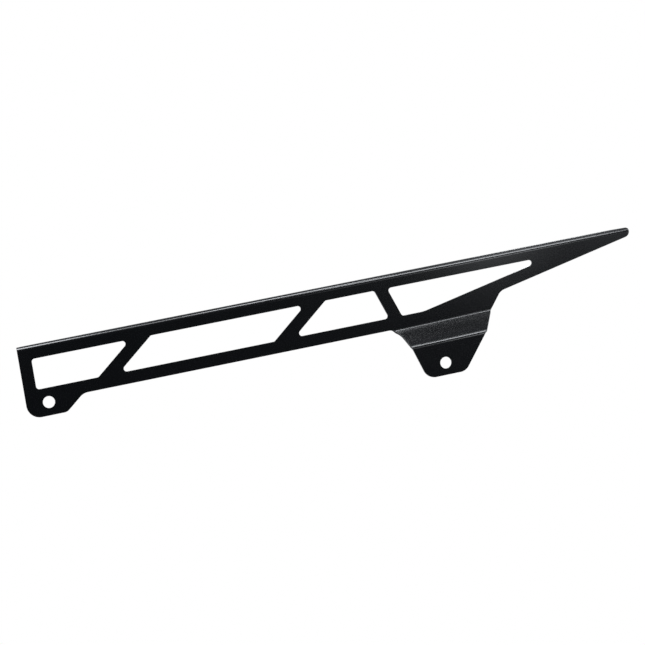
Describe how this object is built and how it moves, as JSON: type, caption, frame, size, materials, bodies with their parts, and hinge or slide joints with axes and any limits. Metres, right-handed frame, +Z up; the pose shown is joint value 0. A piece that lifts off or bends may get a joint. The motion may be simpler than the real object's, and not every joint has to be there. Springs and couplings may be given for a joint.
{
  "type": "motorcycle chain guard",
  "caption": "Flat bar folded from black sheet, with a top flange, slanted lightening windows, a pointed tip and a stepped rear tab, that bolts over a motorcycle's chain.",
  "frame": {"origin": "centre of the front bolt hole, on the sheet's inner face", "axes": "+X along the top edge to the pointed tip, +Y inwards through the sheet to the side that the flange folds to, +Z up towards the flange. The rear tab stands out to -Y."},
  "size_m": [0.4601, 0.033, 0.079],
  "materials": {
    "black_coat": "satin black powder coat on aluminium sheet"
  },
  "bodies": {
    "root": {"guard_plate": "black_coat"}
  },
  "joints": []
}
